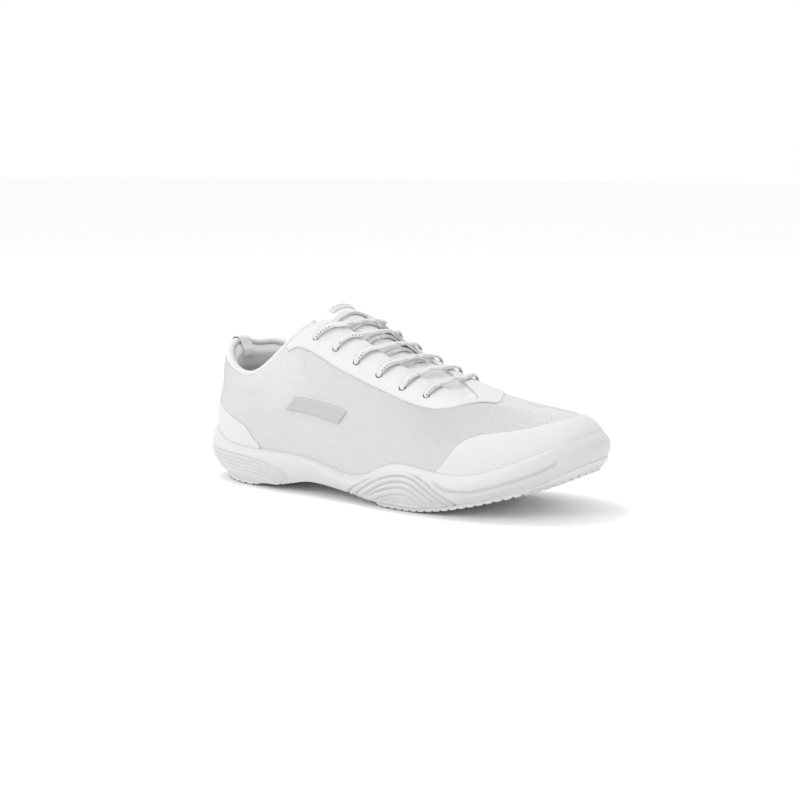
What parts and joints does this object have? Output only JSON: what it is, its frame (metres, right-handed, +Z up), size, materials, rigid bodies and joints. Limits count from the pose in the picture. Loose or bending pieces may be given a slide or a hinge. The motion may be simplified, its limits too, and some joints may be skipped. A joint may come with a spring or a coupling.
{
  "type": "cheer shoe",
  "caption": "Low laced cheerleading shoe for the right foot: cup midsole with a raised forefoot wave, fabric upper with smooth overlays, padded collar and tongue, lift-out sockliner.",
  "frame": {"origin": "centre of the bounding box on the ground plane that the outsole stands on", "axes": "+X from heel to toe, +Y to the inner (medial) side of the foot, +Z up"},
  "size_m": [0.266, 0.0972, 0.1118],
  "materials": {
    "outsole_rubber": "matte",
    "midsole_foam": "satin",
    "board": "matte",
    "sock_foam": "matte",
    "sock_fabric": "matte",
    "quarter_fabric": "matte, fine diagonal weave",
    "stiffener": "matte",
    "lining_fabric": "matte",
    "padding": "matte",
    "overlay_film": "smooth, low sheen",
    "backing_fabric": "matte",
    "binding_fabric": "matte",
    "emblem_film": "satin",
    "tongue_fabric": "matte, ribbed mesh",
    "lace_yarn": "matte, woven",
    "aglet_plastic": "gloss"
  },
  "bodies": {
    "shoe": {"outsole_forefoot": "outsole_rubber", "outsole_heel": "outsole_rubber", "midsole": "midsole_foam", "strobel_board": "board", "upper_fabric": "quarter_fabric", "toe_puff": "stiffener", "heel_counter": "stiffener", "upper_lining": "lining_fabric", "collar_foam": "padding", "toe_overlay": "overlay_film", "heel_overlay": "overlay_film", "eyestay": "overlay_film", "eyestay_backing": "backing_fabric", "collar_binding": "binding_fabric", "heel_pull_tab": "binding_fabric", "side_emblem": "emblem_film", "shoelace": "lace_yarn", "aglet_outer": "aglet_plastic", "aglet_inner": "aglet_plastic"},
    "tongue": {"tongue_cover": "tongue_fabric", "tongue_foam": "padding", "tongue_lining": "lining_fabric", "tongue_badge": "emblem_film"},
    "sockliner": {"sockliner_foam": "sock_foam", "sockliner_cover": "sock_fabric"}
  },
  "joints": [
    {"name": "tongue_swing", "type": "hinge", "parent": "shoe", "child": "tongue", "pos_m": [0.065, 0, 0.057], "axis": [0, -1, 0], "range_deg": [0, 10], "stiffness_Nm_per_rad": 0.3, "springref_deg": -2.86},
    {"name": "sockliner_lift", "type": "hinge", "parent": "shoe", "child": "sockliner", "pos_m": [0.1235, 0, 0.04], "axis": [0, 1, 0], "range_deg": [0, 6]}
  ]
}
